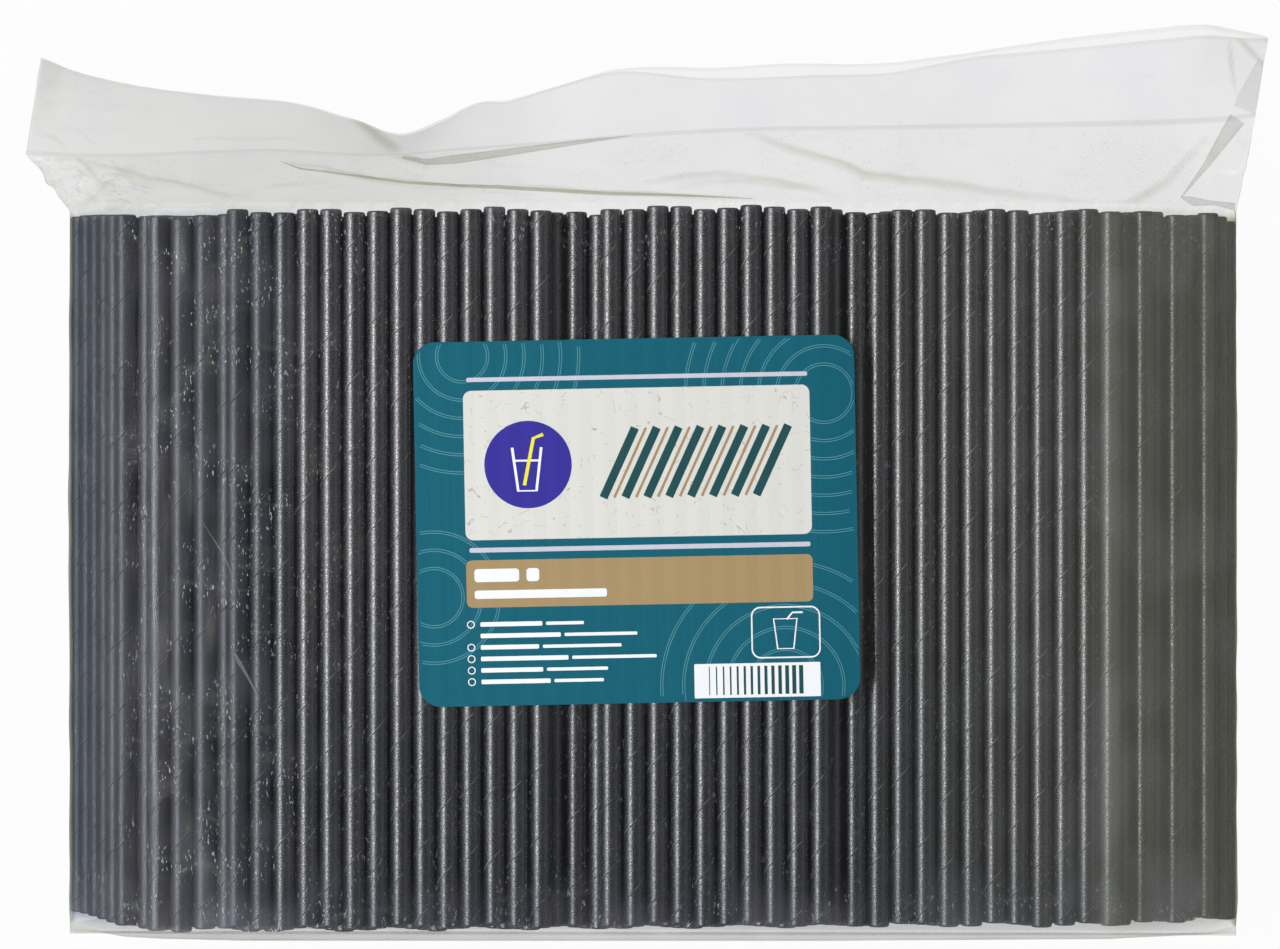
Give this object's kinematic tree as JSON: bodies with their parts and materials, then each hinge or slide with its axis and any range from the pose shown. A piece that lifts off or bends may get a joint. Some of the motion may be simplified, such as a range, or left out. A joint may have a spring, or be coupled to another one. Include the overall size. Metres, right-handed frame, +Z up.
{
  "type": "pack of paper drinking straws",
  "caption": "Flat block of straight paper drinking straws, nested in rows inside a sealed clear film bag with a loose flap at its mouth and a stuck-on paper label.",
  "frame": {"origin": "on the flat underside that the pack lies on, under the middle of the bundle of straws", "axes": "+X across the straws to the right as the label is seen, +Y along the straws to the bag's mouth, +Z up out of the label's face"},
  "size_m": [0.3532, 0.2578, 0.0575],
  "materials": {
    "straw_paper": "matte, dyed black, spiral wound",
    "clear_film": "clear, glossy, slightly creased",
    "label_paper": "printed, semi-gloss"
  },
  "bodies": {
    "root": {"straw_row_01": "straw_paper", "straw_row_02": "straw_paper", "straw_row_03": "straw_paper", "straw_row_04": "straw_paper", "straw_row_05": "straw_paper", "straw_row_06": "straw_paper", "straw_row_07": "straw_paper", "straw_row_08": "straw_paper", "straw_row_09": "straw_paper", "straw_row_10": "straw_paper", "straw_top_01": "straw_paper", "straw_top_02": "straw_paper", "straw_top_03": "straw_paper", "straw_top_04": "straw_paper", "straw_top_05": "straw_paper", "straw_top_06": "straw_paper", "straw_top_07": "straw_paper", "straw_top_08": "straw_paper", "straw_top_09": "straw_paper", "straw_top_10": "straw_paper", "straw_top_11": "straw_paper", "straw_top_12": "straw_paper", "straw_top_13": "straw_paper", "straw_top_14": "straw_paper", "straw_top_15": "straw_paper", "straw_top_16": "straw_paper", "straw_top_17": "straw_paper", "straw_top_18": "straw_paper", "straw_top_19": "straw_paper", "straw_top_20": "straw_paper", "straw_top_21": "straw_paper", "straw_top_22": "straw_paper", "straw_top_23": "straw_paper", "straw_top_24": "straw_paper", "film_bag": "clear_film", "label": "label_paper"}
  },
  "joints": []
}
